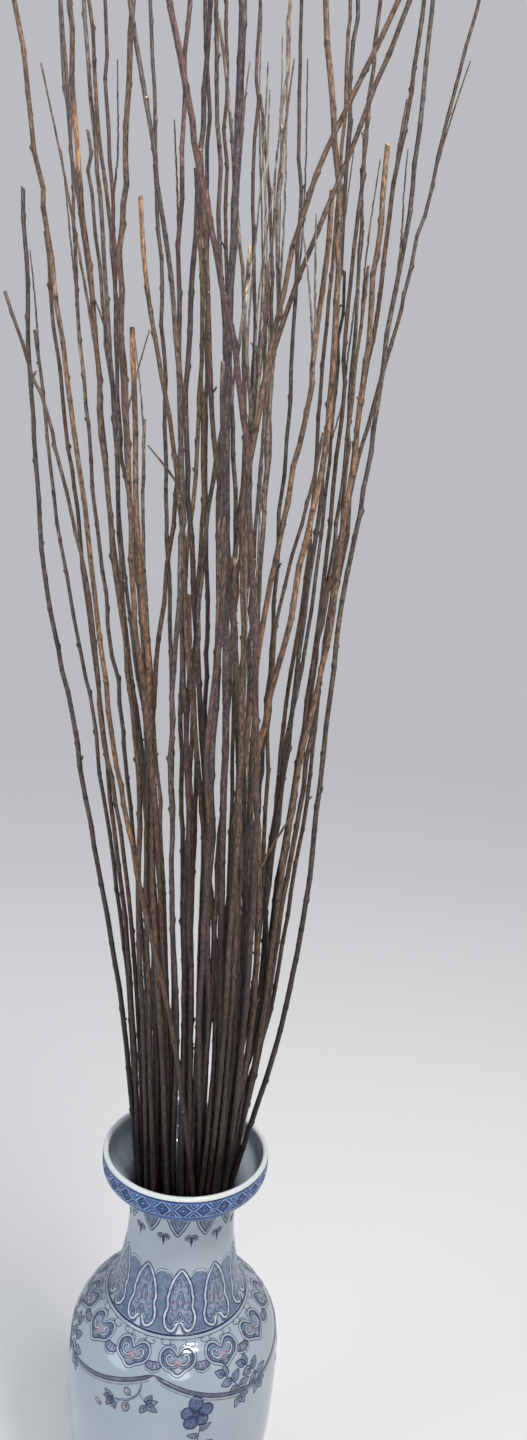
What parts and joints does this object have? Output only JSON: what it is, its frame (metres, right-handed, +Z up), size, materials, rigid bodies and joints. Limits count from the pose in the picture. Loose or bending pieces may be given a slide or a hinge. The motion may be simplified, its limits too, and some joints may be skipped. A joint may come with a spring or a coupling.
{
  "type": "willow stems in a floor vase",
  "caption": "Tall bunch of dry leafless willow stems standing in a flared, blue-and-white porcelain floor vase with a round foot.",
  "frame": {"origin": "centre of the vase's foot, on the floor it stands on", "axes": "+Z up along the vase's axis and the stems, -Y towards the viewer of the picture, +X to the viewer's right"},
  "size_m": [0.4912, 0.361, 2.1],
  "materials": {
    "porcelain": "glossy bluish-white glaze with cobalt-blue and pale pink painting",
    "bark_tan": "dry smooth tan bark with nodes and pale specks",
    "bark_red": "dry reddish-brown bark with a faint sheen",
    "bark_grey": "dry matt grey-brown bark"
  },
  "bodies": {
    "root": {"vase": "porcelain", "stem_01": "bark_tan", "stem_02": "bark_grey", "stem_03": "bark_grey", "stem_04": "bark_grey", "stem_05": "bark_grey", "stem_06": "bark_tan", "stem_07": "bark_grey", "stem_08": "bark_grey", "stem_09": "bark_grey", "stem_10": "bark_tan", "stem_11": "bark_tan", "stem_12": "bark_tan", "stem_13": "bark_grey", "stem_14": "bark_grey", "stem_15": "bark_red", "stem_16": "bark_red", "stem_17": "bark_red", "stem_18": "bark_grey", "stem_19": "bark_grey", "stem_20": "bark_grey", "stem_21": "bark_tan", "stem_22": "bark_tan", "stem_23": "bark_tan", "stem_24": "bark_tan", "stem_25": "bark_tan", "stem_26": "bark_tan", "stem_27": "bark_tan", "stem_28": "bark_grey", "stem_29": "bark_grey", "stem_30": "bark_grey", "stem_31": "bark_grey", "stem_32": "bark_grey", "stem_33": "bark_grey", "stem_34": "bark_red", "stem_35": "bark_grey", "stem_36": "bark_grey", "stem_37": "bark_grey", "stem_38": "bark_grey", "stem_39": "bark_tan", "stem_40": "bark_grey", "stem_41": "bark_grey", "stem_42": "bark_red", "stem_43": "bark_red", "stem_44": "bark_tan", "stem_45": "bark_grey", "stem_46": "bark_grey", "stem_47": "bark_grey", "stem_48": "bark_grey", "stem_49": "bark_grey", "stem_50": "bark_grey", "stem_51": "bark_red", "stem_52": "bark_grey", "stem_53": "bark_red", "stem_54": "bark_grey", "stem_55": "bark_red", "stem_56": "bark_grey", "stem_57": "bark_tan", "stem_58": "bark_grey", "stem_59": "bark_red"}
  },
  "joints": []
}
